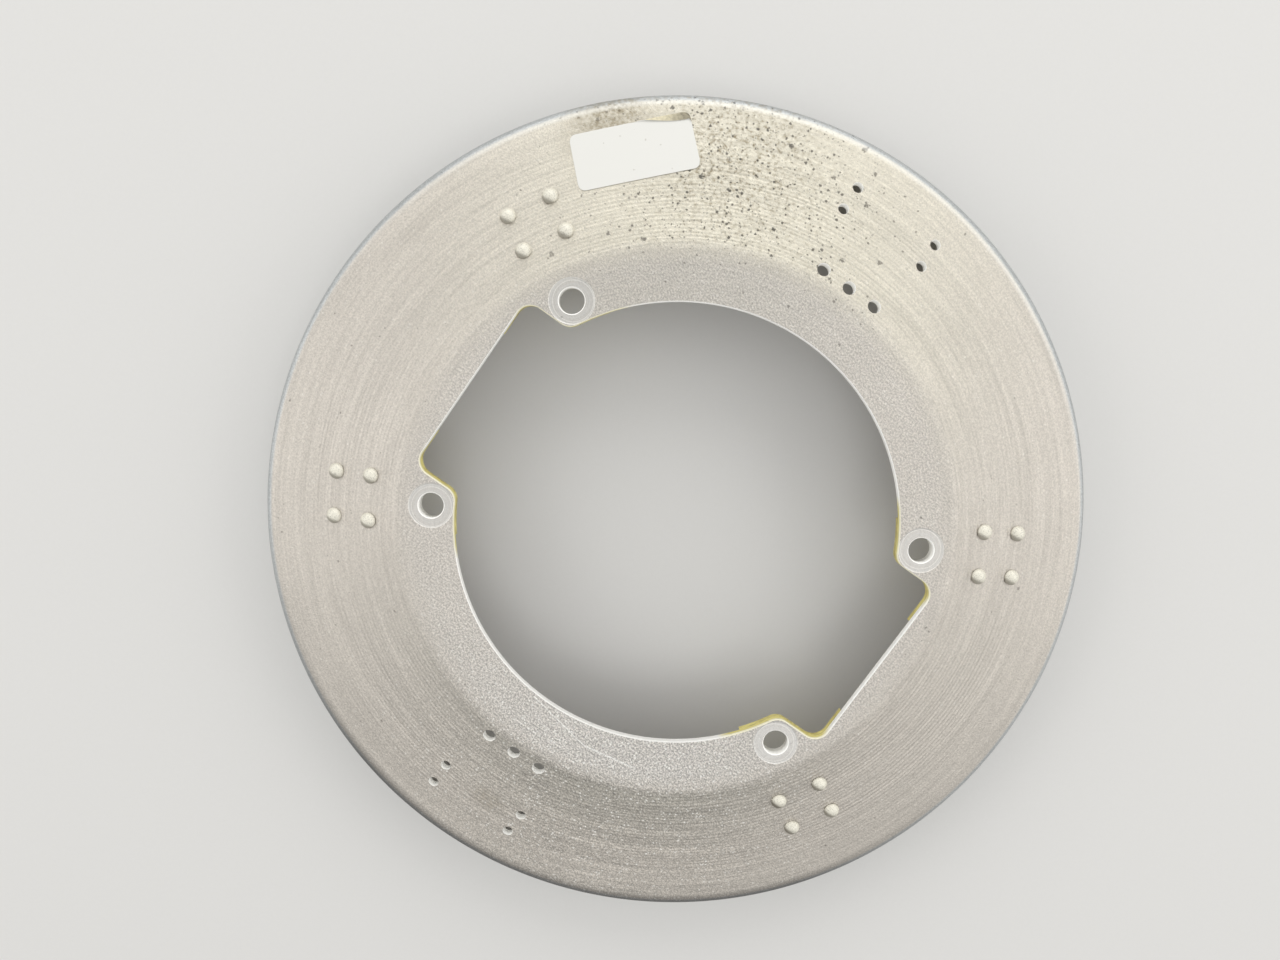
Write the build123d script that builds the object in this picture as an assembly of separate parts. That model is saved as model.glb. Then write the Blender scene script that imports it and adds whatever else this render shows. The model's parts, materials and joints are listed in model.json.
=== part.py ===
from build123d import *
import math
import os

# Spinner bulkhead for a two-blade propeller: a dished ring spun from aluminium sheet. Its four
# lugs bolt to the propeller hub, and the spinner shell slides over its turned-down rim and is
# screwed to anchor nuts inside it. All sizes are in millimetres.
# The origin is the centre of the four hub bolts, on the flat face that the dish shows. +Z
# leaves that face, X runs through the ends of the slot, and the rim's free edge is lowest.

# Spun dish
rim_radius = 177.8
sheet = 3.175
depth = 46.0
break_radius = 115.0
cone_slope = math.radians(16.5)
break_bend = 16.0
rim_bend = 5.0

# Cut-out: a round hole joined with a slot that clears the blade roots
opening_radius = 92.4
slot_half_length = 103.7
slot_half_width = 41.0
corner_radius = 6.5
edge_break = 0.4

# Hub bolts, one in each lug
bolt_circle = 102.05
lug_angle = math.radians(30)
bolt_hole_radius = 5.25

# Plain holes in the cone for brackets, the same at each end of the Y axis
inner_row = 119.9
inner_pitch = 12.7
inner_hole_radius = 2.75
outer_half_width = 19.9
outer_rows = (145.45, 156.4)
outer_hole_radius = 2.25

# Doublers behind the lugs: corners of the one between +X and +Y, along and across its lug
doubler_corners = ((78, 12), (104, 12), (122, 17), (152, 17), (152, -17), (131, -17), (119, -31), (78, -31))
doubler_corner_radius = 6

# Lug rivets, four through each doubler
rivet_rows = (128.7, 144.4)
rivet_half_pitch = 9.5
shank_radius = 1.6
head_radius = 3.175
head_height = 1.45
head_edge = 0.3
shop_radius = 2.4
shop_bulge = 0.15
shop_height = 1.6

# Anchor nuts inside the rim, riveted beside each screw hole
nut_count = 12
nut_first_angle = 15.0
screw_height = -34.5
screw_hole_radius = 2.55
nut_plate = 0.9
nut_width = 9.4
nut_lug_radius = 3.3
nut_rivet_reach = 8.73
nut_body_radius = 3.9
nut_body_height = 3.7
nut_neck_radius = 3.3
nut_neck_height = 2.5
nut_bore_radius = 2.1
flush_head_radius = 2.3
flush_shank_radius = 1.2
flush_head_angle = math.radians(50)
flush_set = 0.02
flush_shop_radius = 1.8
flush_shop_height = 1.1

# Blank data label stuck on the cone
label_centre = (-102.8, 115.1)
label_turn = 46.7
label_length = 50.4
label_width = 25.0
label_corner = 3.0
label_film = 0.15

# Gap left round a riveted shank and under its formed head
seat_gap = 0.01

bolt_x = bolt_circle * math.cos(lug_angle)
bolt_y = bolt_circle * math.sin(lug_angle)
doubled = 2 * sheet
drill_length = 4 * doubled


def cone_height(radius, below):
    """Height of the cone at a plan radius, a distance below the face that shows."""
    return -(radius - break_radius) * math.tan(cone_slope) - below / math.cos(cone_slope)


def break_corner(below):
    """Where the flat and the cone would meet, a distance below the face that shows."""
    return (break_radius - below * math.tan(cone_slope / 2), -below)


def turned(outline):
    """Turn a closed section, drawn as radius and height, about the dish's axis."""
    return revolve(Plane.XZ * make_face(outline.edges()), Axis.Z)


def band(upper, lower):
    """Close the section between two lines that run the same way."""
    return upper + lower + Line(upper @ 0, lower @ 0) + Line(upper @ 1, lower @ 1)


def skin_line(below):
    """One skin of the dish from its axis to the rim's free edge, bends included."""
    radius = rim_radius - below
    return FilletPolyline(
        (0, -below),
        break_corner(below),
        (radius, cone_height(radius, below)),
        (radius, -depth),
        radius=(break_bend - below, rim_bend - below),
    )


def layer_line(below, reach):
    """A line that follows the flat and the cone as far as a plan radius."""
    return FilletPolyline(
        (0, -below),
        break_corner(below),
        (reach, cone_height(reach, below)),
        radius=(break_bend - below,),
    )


def square_to_cone(x, y):
    """A plane on the cone at a plan point, its Z leaving the metal squarely."""
    radius = math.hypot(x, y)
    lean = math.sin(cone_slope) / radius
    return Plane(
        origin=(x, y, cone_height(radius, 0)),
        x_dir=(-y, x, 0),
        z_dir=(x * lean, y * lean, math.cos(cone_slope)),
    )


def square_to_rim(angle):
    """A plane on the outside of the rim at screw height, its Z pointing out."""
    turn = math.radians(angle)
    return Plane(
        origin=(rim_radius * math.cos(turn), rim_radius * math.sin(turn), screw_height),
        x_dir=(-math.sin(turn), math.cos(turn), 0),
        z_dir=(math.cos(turn), math.sin(turn), 0),
    )


def drill(radius):
    """A drill through one or two sheets, standing on its own local plane."""
    return Cylinder(radius, drill_length)


def prism(plan):
    """An upright prism through the whole depth of the part, from a plan shape."""
    return extrude(plan, depth, both=True)


def opening():
    """The cut-out through the middle, with its lug tips and slot corners rounded."""
    plan = Circle(opening_radius) + Rectangle(2 * slot_half_length, 2 * slot_half_width)
    rounded = fillet(plan.vertices(), corner_radius)
    return prism(rounded)


def bolt_drills():
    """The four hub bolt holes."""
    return GridLocations(2 * bolt_x, 2 * bolt_y, 2, 2) * drill(bolt_hole_radius)


def lug_rivet_places():
    """Plan points of the four rivets in the lug between +X and +Y."""
    along = (math.cos(lug_angle), math.sin(lug_angle))
    return [
        (row * along[0] - side * along[1], row * along[1] + side * along[0])
        for row in rivet_rows
        for side in (-rivet_half_pitch, rivet_half_pitch)
    ]


def four_fold(piece):
    """A piece of the lug between +X and +Y, and its likes in the other three lugs."""
    across = mirror(piece, about=Plane.YZ)
    return [piece, across, mirror(across, about=Plane.XZ), mirror(piece, about=Plane.XZ)]


def plain_drills():
    """The bracket holes at both ends of the Y axis, square to the cone."""
    spots = [(step * inner_pitch, inner_row, inner_hole_radius) for step in (-1, 0, 1)]
    spots += [
        (side * outer_half_width, row, outer_hole_radius)
        for side in (-1, 1)
        for row in outer_rows
    ]
    return [
        square_to_cone(x, end * y) * drill(radius) for end in (-1, 1) for x, y, radius in spots
    ]


def flush_rivet_drill():
    """Hole and countersink for a flush rivet, drilled from outside the rim."""
    shank = flush_shank_radius + seat_gap
    lead = flush_head_radius - flush_shank_radius
    sunk = lead / math.tan(flush_head_angle)
    return Cone(shank, shank + 2 * lead, 2 * sunk) + drill(shank)


def rim_drills():
    """Screw holes and rivet holes round the rim."""
    tools = []
    for angle in nut_angles():
        tools.append(square_to_rim(angle) * drill(screw_hole_radius))
        tools += [square_to_rim(angle + side) * flush_rivet_drill() for side in nut_rivet_turns()]
    return tools


def nut_angles():
    """Angles of the anchor nuts round the rim."""
    return [nut_first_angle + step * 360 / nut_count for step in range(nut_count)]


def nut_rivet_turns():
    """How far round the rim each nut's two rivets stand from its screw."""
    turn = math.degrees(nut_rivet_reach / (rim_radius - sheet))
    return (-turn, turn)


def bulkhead_shell():
    """The spun dish with its cut-out, lugs, holes and turned-down rim."""
    dish = turned(band(skin_line(0), skin_line(sheet)))
    dish = chamfer(dish.edges().group_by(Axis.Z)[0], edge_break)
    dish -= opening()
    dish -= bolt_drills()
    face_edges = dish.edges().filter_by_position(Axis.Z, 0, 0, inclusive=(True, True))
    cut_edges = [e for e in face_edges if math.hypot((e @ 0).X, (e @ 0).Y) < slot_reach()]
    dish = chamfer(cut_edges, edge_break)
    rivet_drills = [
        square_to_cone(*spot) * drill(shank_radius + seat_gap)
        for spot in four_fold_points(lug_rivet_places())
    ]
    return dish - (rivet_drills + plain_drills() + rim_drills())


def slot_reach():
    """Plan radius just past the slot's corners."""
    return math.hypot(slot_half_length, slot_half_width)


def four_fold_points(points):
    """Plan points mirrored into all four lugs."""
    return [(sx * x, sy * y) for sx in (1, -1) for sy in (1, -1) for x, y in points]


def doubler():
    """Stiffener under the lug between +X and +Y, nested against the back of the dish."""
    plan = fillet(Polygon(*doubler_corners, align=None).vertices(), doubler_corner_radius)
    blank = prism(Rot(0, 0, math.degrees(lug_angle)) * plan)
    nested = turned(band(layer_line(sheet, rim_radius), layer_line(doubled, rim_radius)))
    rivet_drills = [
        square_to_cone(*spot) * drill(shank_radius + seat_gap) for spot in lug_rivet_places()
    ]
    return (nested & blank) - opening() - bolt_drills() - rivet_drills


def lug_rivet():
    """Solid rivet with a round head on the dish and a formed head on the doubler."""
    rise = head_height - head_edge
    ball = (head_radius**2 + rise**2) / (2 * rise)
    half = head_radius / 2
    crown_mid = (half, head_height - ball + math.sqrt(ball**2 - half**2))
    crown = ThreePointArc((0, head_height), crown_mid, (head_radius, head_edge))
    under = -doubled - seat_gap
    end = under - shop_height
    stem = Polyline(
        (head_radius, head_edge),
        (head_radius, 0),
        (shank_radius, 0),
        (shank_radius, under),
        (shop_radius, under),
    )
    barrel_mid = (shop_radius + shop_bulge, (under + end) / 2)
    barrel = ThreePointArc((shop_radius, under), barrel_mid, (shop_radius, end))
    close = Polyline((shop_radius, end), (0, end), (0, head_height))
    return turned(crown + stem + barrel + close)


def flush_rivet():
    """Flush rivet of an anchor nut, its head sunk in the rim and its tail formed on the nut."""
    rim = flush_head_radius - flush_set * math.tan(flush_head_angle)
    sunk = -(flush_head_radius - flush_shank_radius) / math.tan(flush_head_angle)
    under = -sheet - nut_plate - seat_gap
    end = under - flush_shop_height
    return turned(
        Polyline(
            (0, -flush_set),
            (rim, -flush_set),
            (flush_shank_radius, sunk),
            (flush_shank_radius, under),
            (flush_shop_radius, under),
            (flush_shop_radius, end),
            (0, end),
            close=True,
        )
    )


def nut_outline():
    """Plan of an anchor nut's plate: a round middle drawn out to a round lug each side."""
    middle = nut_width / 2
    lean = math.asin((middle - nut_lug_radius) / nut_rivet_reach)
    waist = (middle * math.sin(lean), middle * math.cos(lean))
    tip = (nut_rivet_reach + nut_lug_radius * math.sin(lean), nut_lug_radius * math.cos(lean))
    end = nut_rivet_reach + nut_lug_radius
    quarter = [
        ThreePointArc((0, middle), (middle * math.sin(lean / 2), middle * math.cos(lean / 2)), waist),
        Line(waist, tip),
        RadiusArc(tip, (end, 0), nut_lug_radius),
    ]
    edges = [edge for line in quarter for edge in line.edges()]
    half = edges + [edge.mirror(Plane.YZ) for edge in edges]
    return make_face(half + [edge.mirror(Plane.XZ) for edge in half])


def nut_body():
    """The nut's barrel, squeezed in at its far end so that it grips the screw."""
    root = -sheet - nut_plate / 2
    neck = root - nut_body_height
    end = neck - nut_neck_height
    return turned(
        Polyline(
            (0, root),
            (nut_body_radius, root),
            (nut_body_radius, neck),
            (nut_neck_radius, end),
            (0, end),
            close=True,
        )
    )


def anchor_nut():
    """Two-lug anchor nut, its plate curved to the inside of the rim, at angle zero."""
    inside = rim_radius - sheet
    ring = turned(
        Polyline(
            (inside - nut_plate, screw_height - nut_width),
            (inside, screw_height - nut_width),
            (inside, screw_height + nut_width),
            (inside - nut_plate, screw_height + nut_width),
            close=True,
        )
    )
    seat = square_to_rim(0)
    plate = ring & extrude(seat * nut_outline(), -doubled)
    nut = plate + seat * nut_body()
    nut -= seat * drill(nut_bore_radius)
    for side in nut_rivet_turns():
        nut -= square_to_rim(side) * drill(flush_shank_radius + seat_gap)
    return nut


def data_label():
    """Thin film label, blank, following the cone."""
    film = turned(band(layer_line(-label_film, rim_radius), layer_line(0, rim_radius)))
    plan = RectangleRounded(label_length, label_width * math.cos(cone_slope), label_corner)
    return film & prism(Pos(*label_centre) * Rot(0, 0, label_turn) * plan)


def parts():
    """Every node's solids by name."""
    nodes = {"bulkhead_shell": [bulkhead_shell()], "data_label": [data_label()]}
    for number, piece in enumerate(four_fold(doubler()), 1):
        nodes[f"lug_doubler_{number}"] = [piece]
    for number, signs in enumerate(((1, 1), (-1, 1), (-1, -1), (1, -1)), 1):
        spots = [(signs[0] * x, signs[1] * y) for x, y in lug_rivet_places()]
        nodes[f"lug_rivets_{number}"] = [square_to_cone(*spot) * lug_rivet() for spot in spots]
    nut = anchor_nut()
    for number, angle in enumerate(nut_angles(), 1):
        nodes[f"anchor_nut_{number:02d}"] = [Rot(0, 0, angle) * nut]
        pair = [square_to_rim(angle + side) * flush_rivet() for side in nut_rivet_turns()]
        nodes[f"anchor_nut_rivets_{number:02d}"] = pair
    return nodes


os.makedirs("parts", exist_ok=True)
for name, solids in parts().items():
    export_step(Compound(solids), f"parts/{name}.step")
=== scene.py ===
import json
import math
from functools import partial

import bmesh
import bpy
from bpy.props import FloatProperty, FloatVectorProperty, IntProperty, PointerProperty
from mathutils import Matrix, Vector, noise


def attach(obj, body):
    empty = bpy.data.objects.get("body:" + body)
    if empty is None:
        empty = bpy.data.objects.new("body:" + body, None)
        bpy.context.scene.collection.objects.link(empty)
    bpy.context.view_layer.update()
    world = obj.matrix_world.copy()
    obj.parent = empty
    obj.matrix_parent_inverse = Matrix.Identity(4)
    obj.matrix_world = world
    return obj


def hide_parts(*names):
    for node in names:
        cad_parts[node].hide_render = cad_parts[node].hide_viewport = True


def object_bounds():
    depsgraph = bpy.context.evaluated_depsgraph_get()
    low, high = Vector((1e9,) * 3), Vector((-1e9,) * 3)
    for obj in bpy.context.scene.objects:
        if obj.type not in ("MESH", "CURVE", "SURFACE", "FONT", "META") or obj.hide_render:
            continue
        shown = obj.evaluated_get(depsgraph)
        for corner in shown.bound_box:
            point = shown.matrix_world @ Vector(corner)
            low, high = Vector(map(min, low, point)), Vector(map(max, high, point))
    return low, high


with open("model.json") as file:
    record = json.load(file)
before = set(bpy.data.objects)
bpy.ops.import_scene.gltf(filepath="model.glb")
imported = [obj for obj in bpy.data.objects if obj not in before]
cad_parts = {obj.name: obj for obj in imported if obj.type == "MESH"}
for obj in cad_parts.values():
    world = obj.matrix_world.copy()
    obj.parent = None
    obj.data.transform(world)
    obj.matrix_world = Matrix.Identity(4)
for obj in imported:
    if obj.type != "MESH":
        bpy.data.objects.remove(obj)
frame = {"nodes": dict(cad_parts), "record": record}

bl_info = {
    "name": "Spinner bulkhead",
    "version": (1, 0, 0),
    "blender": (4, 5, 0),
    "location": "3D View > Sidebar > Bulkhead",
    "description": "Builds a spun aluminium spinner bulkhead, its rivets, doublers, nuts and label",
    "category": "Object",
}

# The row's frame: +Z leaves the flat face that shows, X runs through the ends of the slot, and the
# origin is the centre of the four hub bolts. Everything is in metres, and sizes are given in mm.
MM = 0.001
LOW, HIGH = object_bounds()
MOUNTS = {mount["name"]: mount for mount in frame["record"]["mounts"]}
HUB = MOUNTS["hub_bolts"]["dims"]
SCREWS = [mount for name, mount in sorted(MOUNTS.items()) if name.startswith("spinner_screw")]
QUARTERS = ((1, 1), (-1, 1), (-1, -1), (1, -1))

# How far the cutting tools reach past the face and the back
ABOVE, BELOW = 3 * MM, -12 * MM
# Sides of the round tools and of a rivet
BOLT_SIDES, SHANK_SIDES, BRACKET_SIDES, SCREW_SIDES, RIVET_SIDES = 64, 24, 48, 32, 48
# Distances over which the ridges fade in, fade out, drift and vary, and over which the cone sways
FADE_IN, FADE_OUT, DRIFT, VARIATION, SWAY = (size * MM for size in (4, 24, 9, 4, 60))
# Half the angle of a flush rivet's head, and half the width of the floor
FLUSH_ANGLE = math.radians(50)
FLOOR_HALF = 3.0

# Each lamp's place as the picture has it, in metres, and its size across and up
LAMPS = {
    "key": ((0.2, 1.25, 0.59), (1.8, 1.0)),
    "left": ((-1.15, 0.12, 0.65), (1.2, 1.0)),
    "right": ((1.2, 0.0, 0.65), (1.2, 1.0)),
    "overhead": ((0.2, -0.5, 1.3), (0.6, 0.6)),
}


def length(name, description, size):
    """A length that a user may change, its default given in millimetres."""
    return FloatProperty(name=name, description=description, default=size * MM, unit="LENGTH")


def angle(name, description, degrees):
    """An angle that a user may change, its default given in degrees."""
    size = math.radians(degrees)
    return FloatProperty(name=name, description=description, default=size, subtype="ANGLE")


def watts(name, description, power):
    """A lamp's power that a user may change."""
    return FloatProperty(name=name, description=description, default=power, min=0, unit="POWER")


def linear(code):
    """An sRGB hex colour as the linear values that shaders take."""
    channels = [int(code[i:i + 2], 16) / 255 for i in (0, 2, 4)]
    return [c / 12.92 if c <= 0.04045 else ((c + 0.055) / 1.055) ** 2.4 for c in channels] + [1.0]


def colour(name, description, code):
    """A colour that a user may change, its default given as sRGB hex."""
    shade = linear(code)
    return FloatVectorProperty(
        name=name, description=description, default=shade, subtype="COLOR", size=4, min=0, max=1
    )


class DishSizes(bpy.types.PropertyGroup):
    """Sizes of the spun dish."""

    rim_radius: length("Rim radius", "Outside of the turned-down rim", HIGH.x / MM)
    depth: length("Depth", "From the flat face to the rim's free edge", -LOW.z / MM)
    sheet: length("Sheet", "Thickness of the sheet", 3.175)
    break_radius: length("Break radius", "Where the flat and the cone would meet", 115.0)
    cone_slope: angle("Cone slope", "Slope of the cone", 16.5)
    break_bend: length("Break bend", "Outside radius of the bend from flat to cone", 16.0)
    rim_bend: length("Rim bend", "Outside radius of the rolled edge", 5.0)
    opening_radius: length("Opening radius", "Round part of the cut-out", 92.4)
    slot_half_length: length("Slot half length", "Half the slot along X", 103.7)
    slot_half_width: length("Slot half width", "Half the slot along Y", 41.0)
    corner_radius: length("Corner radius", "Rounding of slot corners and lug tips", 6.5)
    edge_break: length("Edge break", "Chamfer on cut edges", 0.4)
    ridge_pitch: length("Ridge pitch", "From one spinning ridge to the next", 1.6)
    ridge_depth: length("Ridge depth", "How deep the tool left its track", 0.13)
    far_press: FloatProperty(
        name="Far press", description="How much deeper ridges are opposite the label", default=0.8
    )
    ridge_start: length("Ridge start", "Radius where the ridges begin", 113.5)
    ridge_end: length("Ridge end", "Radius where the ridges have died out", 171.0)
    sway: length("Sway", "How far the cone leaves its true line by hand", 0.12)
    segments: IntProperty(name="Segments", description="Steps round the dish", default=320, min=64)


class HoleSizes(bpy.types.PropertyGroup):
    """Sizes and places of the drilled holes."""

    bolt_radius: length("Bolt hole", "Radius of a hub bolt hole", HUB["hole_r_mm"])
    bolt_x: length("Bolt X", "Hub bolts from the axis along X", HUB["spacing_x_mm"] / 2)
    bolt_y: length("Bolt Y", "Hub bolts from the axis along Y", HUB["spacing_y_mm"] / 2)
    inner_row: length("Inner row", "Row of three bracket holes from the axis", 119.9)
    inner_pitch: length("Inner pitch", "Spacing in the row of three", 12.7)
    inner_radius: length("Inner hole", "Radius in the row of three", 2.75)
    outer_half_width: length("Outer half width", "Paired bracket holes from the Y axis", 19.9)
    outer_low: length("Outer pair, near", "Nearer hole of each pair from the X axis", 145.45)
    outer_high: length("Outer pair, far", "Farther hole of each pair from the X axis", 156.4)
    outer_radius: length("Outer hole", "Radius of the paired holes", 2.25)
    screw_radius: length("Screw hole", "Radius of a screw hole in the rim", 2.55)
    hole_break: length("Hole break", "Chamfer on the small holes", 0.12)


class RivetSizes(bpy.types.PropertyGroup):
    """Sizes and places of the rivets."""

    row_near: length("Near row", "Nearer pair of lug rivets along the lug", 128.7)
    row_far: length("Far row", "Farther pair of lug rivets along the lug", 144.4)
    half_pitch: length("Half pitch", "Lug rivets from the middle of the lug", 9.5)
    shank: length("Shank", "Shank radius", 1.6)
    head_radius: length("Head radius", "Radius of the round head", 3.35)
    head_height: length("Head height", "Height of the round head", 2.7)
    head_edge: length("Head edge", "Upright edge of the head", 0.4)
    dimple_radius: length("Dimple radius", "Mark of the rivet set in the head", 0.55)
    dimple_depth: length("Dimple depth", "Depth of that mark", 0.1)
    shop_radius: length("Formed head radius", "Radius of the formed head", 2.4)
    shop_height: length("Formed head height", "Height of the formed head", 1.6)
    shop_bulge: length("Formed head bulge", "Barrel of the formed head", 0.15)
    nut_reach: length("Nut rivet reach", "Nut rivets from the screw, round the rim", 8.73)
    flush_head: length("Flush head", "Radius of a flush rivet's head", 2.3)
    flush_shank: length("Flush shank", "Radius of a flush rivet's shank", 1.2)
    seat_gap: length("Seat gap", "Gap round a shank", 0.01)


class LabelSizes(bpy.types.PropertyGroup):
    """Size and place of the blank data label."""

    centre_x: length("Centre X", "Middle of the label along X", -102.8)
    centre_y: length("Centre Y", "Middle of the label along Y", 115.1)
    turn: angle("Turn", "Turn of the long side from X", 46.7)
    size_along: length("Length", "Long side", 50.4)
    size_across: length("Width", "Short side, down the slope", 25.0)
    corner: length("Corner", "Corner radius", 3.0)
    film: length("Film", "Thickness", 0.15)
    peel_start: FloatProperty(
        name="Peel start", description="Share of the length where the edge lifts", default=0.46
    )
    peel_width: length("Peel width", "Widest part of the lifted edge", 4.2)
    peel_bend: length("Peel bend", "Radius of the fold", 0.4)
    peel_turn: angle("Peel turn", "How far the edge is folded back", 187)


class FinishColours(bpy.types.PropertyGroup):
    """Colours of the finishes."""

    bare: colour("Bare aluminium", "Aged spun face", "CAC4BB")
    warm: colour("Warm film", "Yellowed oxide at the label's end", "D6D1C2")
    cool: colour("Clean metal", "Flat ring away from the label", "D5D1CB")
    # Painted shade: the band past the bend at the far end and the flat toward the label's end
    shade_grey: colour("Dark film", "Dull band past the bend", "97968D")
    pressed: colour("Pressed metal", "Discs under the bolts' washers", "DDE0E0")
    rubbed: colour("Rubbed metal", "Rolled edge", "C0C3C3")
    # Real cut walls and scratch, and also the painted highlights: glint specks, the washers' rings
    # and the line inside the rolled edge
    pale: colour("Pale metal", "Cut walls, flecks, scratch and handled edge", "FFFEF9")
    mottle: colour("Mottle", "Brown film between the pits and stain", "918771")
    # Real pits and rivet marks, and also the painted shade on the rolled edge at the far end
    pit_and_shade: colour("Pit", "Corrosion pits and the soiled rolled edge", "4E4C49")
    grime: colour("Grime", "Dirt specks on the label and fibres of the floor", "8E8470")
    # Painted shade: the far-facing sides and feet of the rivets' heads, and the label's underside
    # at its lifted corner
    painted_shade: colour("Settled grime", "Lower sides of the rivets, lifted label corner", "645D50")
    primer: colour("Primer", "Yellow-green chromate primer", "E6DA88")
    primer_worn: colour("Worn primer", "Primer where it is thick and brown", "8A7A42")
    rivet: colour("Rivet", "Rivet heads", "E9E5D6")
    nut: colour("Nut", "Yellow plated steel", "B39D62")
    nut_shade: colour("Nut shade", "Darker plating", "7E6C45")
    film: colour("Label film", "White film", "DDDCD6")
    glue: colour("Label glue", "Underside of the film", "E4DBBC")
    floor: colour("Floor", "Pale floor", "D8D7D4")


class StageSettings(bpy.types.PropertyGroup):
    """Camera, lamps and floor."""

    turn: angle("Turn", "Turn of the view about the dish's axis", 35.3)
    tip: angle("Tip", "Tip of the view from square on", -7.09)
    sway: angle("Sway", "Sideways tip of the view", 0.18)
    offset_x: length("Offset X", "Camera beside the dish's axis", -15.14)
    offset_y: length("Offset Y", "Camera above the dish's axis", 19.88)
    distance: length("Distance", "Camera from the flat face", 398.2)
    lens: FloatProperty(name="Lens", description="Focal length in mm", default=27.03)
    key_power: watts("Key lamp", "Power of the lamp above the picture", 8.4)
    left_power: watts("Left lamp", "Power of the lamp at the left", 4.0)
    right_power: watts("Right lamp", "Power of the lamp at the right", 4.0)
    overhead_power: watts("Overhead lamp", "Power of the lamp behind the camera", 1.9)
    world: FloatProperty(name="World", description="Strength of the even light", default=0.7)


GROUPS = {
    "dish": DishSizes,
    "holes": HoleSizes,
    "rivets": RivetSizes,
    "label": LabelSizes,
    "colours": FinishColours,
    "stage": StageSettings,
}


def settings(name):
    """One group of the scene's sizes or colours."""
    return getattr(bpy.context.scene, "bulkhead_" + name)


# Mesh making

def new_piece(name, mesh, materials, node_names):
    """Put a finished mesh in the scene in place of the nodes it stands for."""
    piece = bpy.data.objects.new(name, mesh)
    bpy.context.scene.collection.objects.link(piece)
    for material in materials:
        mesh.materials.append(material)
    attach(piece, "root")
    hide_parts(*node_names)
    return piece


def mesh_of(name, shape):
    """Turn a bmesh into a mesh and free it."""
    bmesh.ops.recalc_face_normals(shape, faces=shape.faces)
    mesh = bpy.data.meshes.new(name)
    shape.to_mesh(mesh)
    shape.free()
    return mesh


def smooth(mesh, degrees=30):
    """Shade a mesh smooth, with edges sharper than an angle kept crisp."""
    mesh.shade_smooth()
    mesh.set_sharp_from_angle(angle=math.radians(degrees))
    return mesh


def lofted(shape, loops, closed=True):
    """Skin a row of equal point loops, and cap its ends unless it joins up with itself."""
    rings = [[shape.verts.new(point) for point in loop] for loop in loops]
    pairs = list(zip(rings, rings[1:]))
    if not closed:
        pairs.append((rings[-1], rings[0]))
    for near, far in pairs:
        for i, vert in enumerate(near):
            after = (i + 1) % len(near)
            shape.faces.new((vert, near[after], far[after], far[i]))
    if closed:
        shape.faces.new(rings[0])
        shape.faces.new(rings[-1])


def turned_loops(profile, sides, seat=Matrix.Identity(4)):
    """Circles for each radius and height of a profile, standing on a seat."""
    turns = [math.tau * i / sides for i in range(sides)]
    return [
        [seat @ Vector((radius * math.cos(a), radius * math.sin(a), height)) for a in turns]
        for radius, height in profile
    ]


def rounded(corners, radii, arc_step):
    """Points of a line through corners, each inner corner rounded to its radius."""
    points = [Vector(corners[0])]
    for before, corner, after, radius in zip(corners, corners[1:], corners[2:], radii):
        back = (Vector(before) - Vector(corner)).normalized()
        ahead = (Vector(after) - Vector(corner)).normalized()
        turn = math.pi - back.angle(ahead)
        centre = Vector(corner) + (back + ahead).normalized() * radius / math.cos(turn / 2)
        spoke = Vector(corner) + back * radius * math.tan(turn / 2) - centre
        way = math.copysign(1, back.angle_signed(ahead))
        steps = max(2, math.ceil(radius * turn / arc_step))
        for i in range(steps + 1):
            points.append(centre + Matrix.Rotation(way * turn * i / steps, 2) @ spoke)
    points.append(Vector(corners[-1]))
    return points


def seat_on(origin, normal, along):
    """A place on a surface: Z leaves it squarely and X runs along it."""
    normal = normal.normalized()
    along = (along - along.project(normal)).normalized()
    axes = Matrix((along, normal.cross(along), normal)).transposed()
    return Matrix.Translation(origin) @ axes.to_4x4()


def cut(piece_mesh, tool_mesh):
    """Cut one closed mesh out of another."""
    piece = bpy.data.objects.new("blank", piece_mesh)
    tool = bpy.data.objects.new("tool", tool_mesh)
    for part in (piece, tool):
        bpy.context.scene.collection.objects.link(part)
    step = piece.modifiers.new("cut", "BOOLEAN")
    step.operation = "DIFFERENCE"
    step.solver = "MANIFOLD"
    step.object = tool
    ready = piece.evaluated_get(bpy.context.evaluated_depsgraph_get())
    made = bpy.data.meshes.new_from_object(ready)
    made.materials.clear()
    for part in (piece, tool):
        bpy.data.objects.remove(part)
    return made


# Forms of the dish

def cone_height(radius, below=0.0):
    """Height of the cone at a plan radius, a distance below the face that shows."""
    dish = settings("dish")
    drop = below / math.cos(dish.cone_slope)
    return -(radius - dish.break_radius) * math.tan(dish.cone_slope) - drop


def on_cone(x, y, lift=0.0):
    """A seat square to the cone at a plan point."""
    radius = math.hypot(x, y)
    slope = settings("dish").cone_slope
    out = Vector((x, y, 0)) / radius
    normal = out * math.sin(slope) + Vector((0, 0, math.cos(slope)))
    origin = Vector((x, y, cone_height(radius))) + normal * lift
    return seat_on(origin, normal, Vector((-y, x, 0)))


def on_rim(turn, height):
    """A seat square to the outside of the rim."""
    radius = settings("dish").rim_radius
    out = Vector((math.cos(turn), math.sin(turn), 0))
    return seat_on(out * radius + Vector((0, 0, height)), out, Vector((-out.y, out.x, 0)))


def skin_corners(below, start):
    """Corners of one skin of the dish, from a start radius to the rim's free edge."""
    dish = settings("dish")
    edge = dish.rim_radius - below
    break_corner = dish.break_radius - below * math.tan(dish.cone_slope / 2)
    rolled_corner = (edge, cone_height(edge, below))
    return (start, -below), (break_corner, -below), rolled_corner, (edge, -dish.depth)


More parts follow.
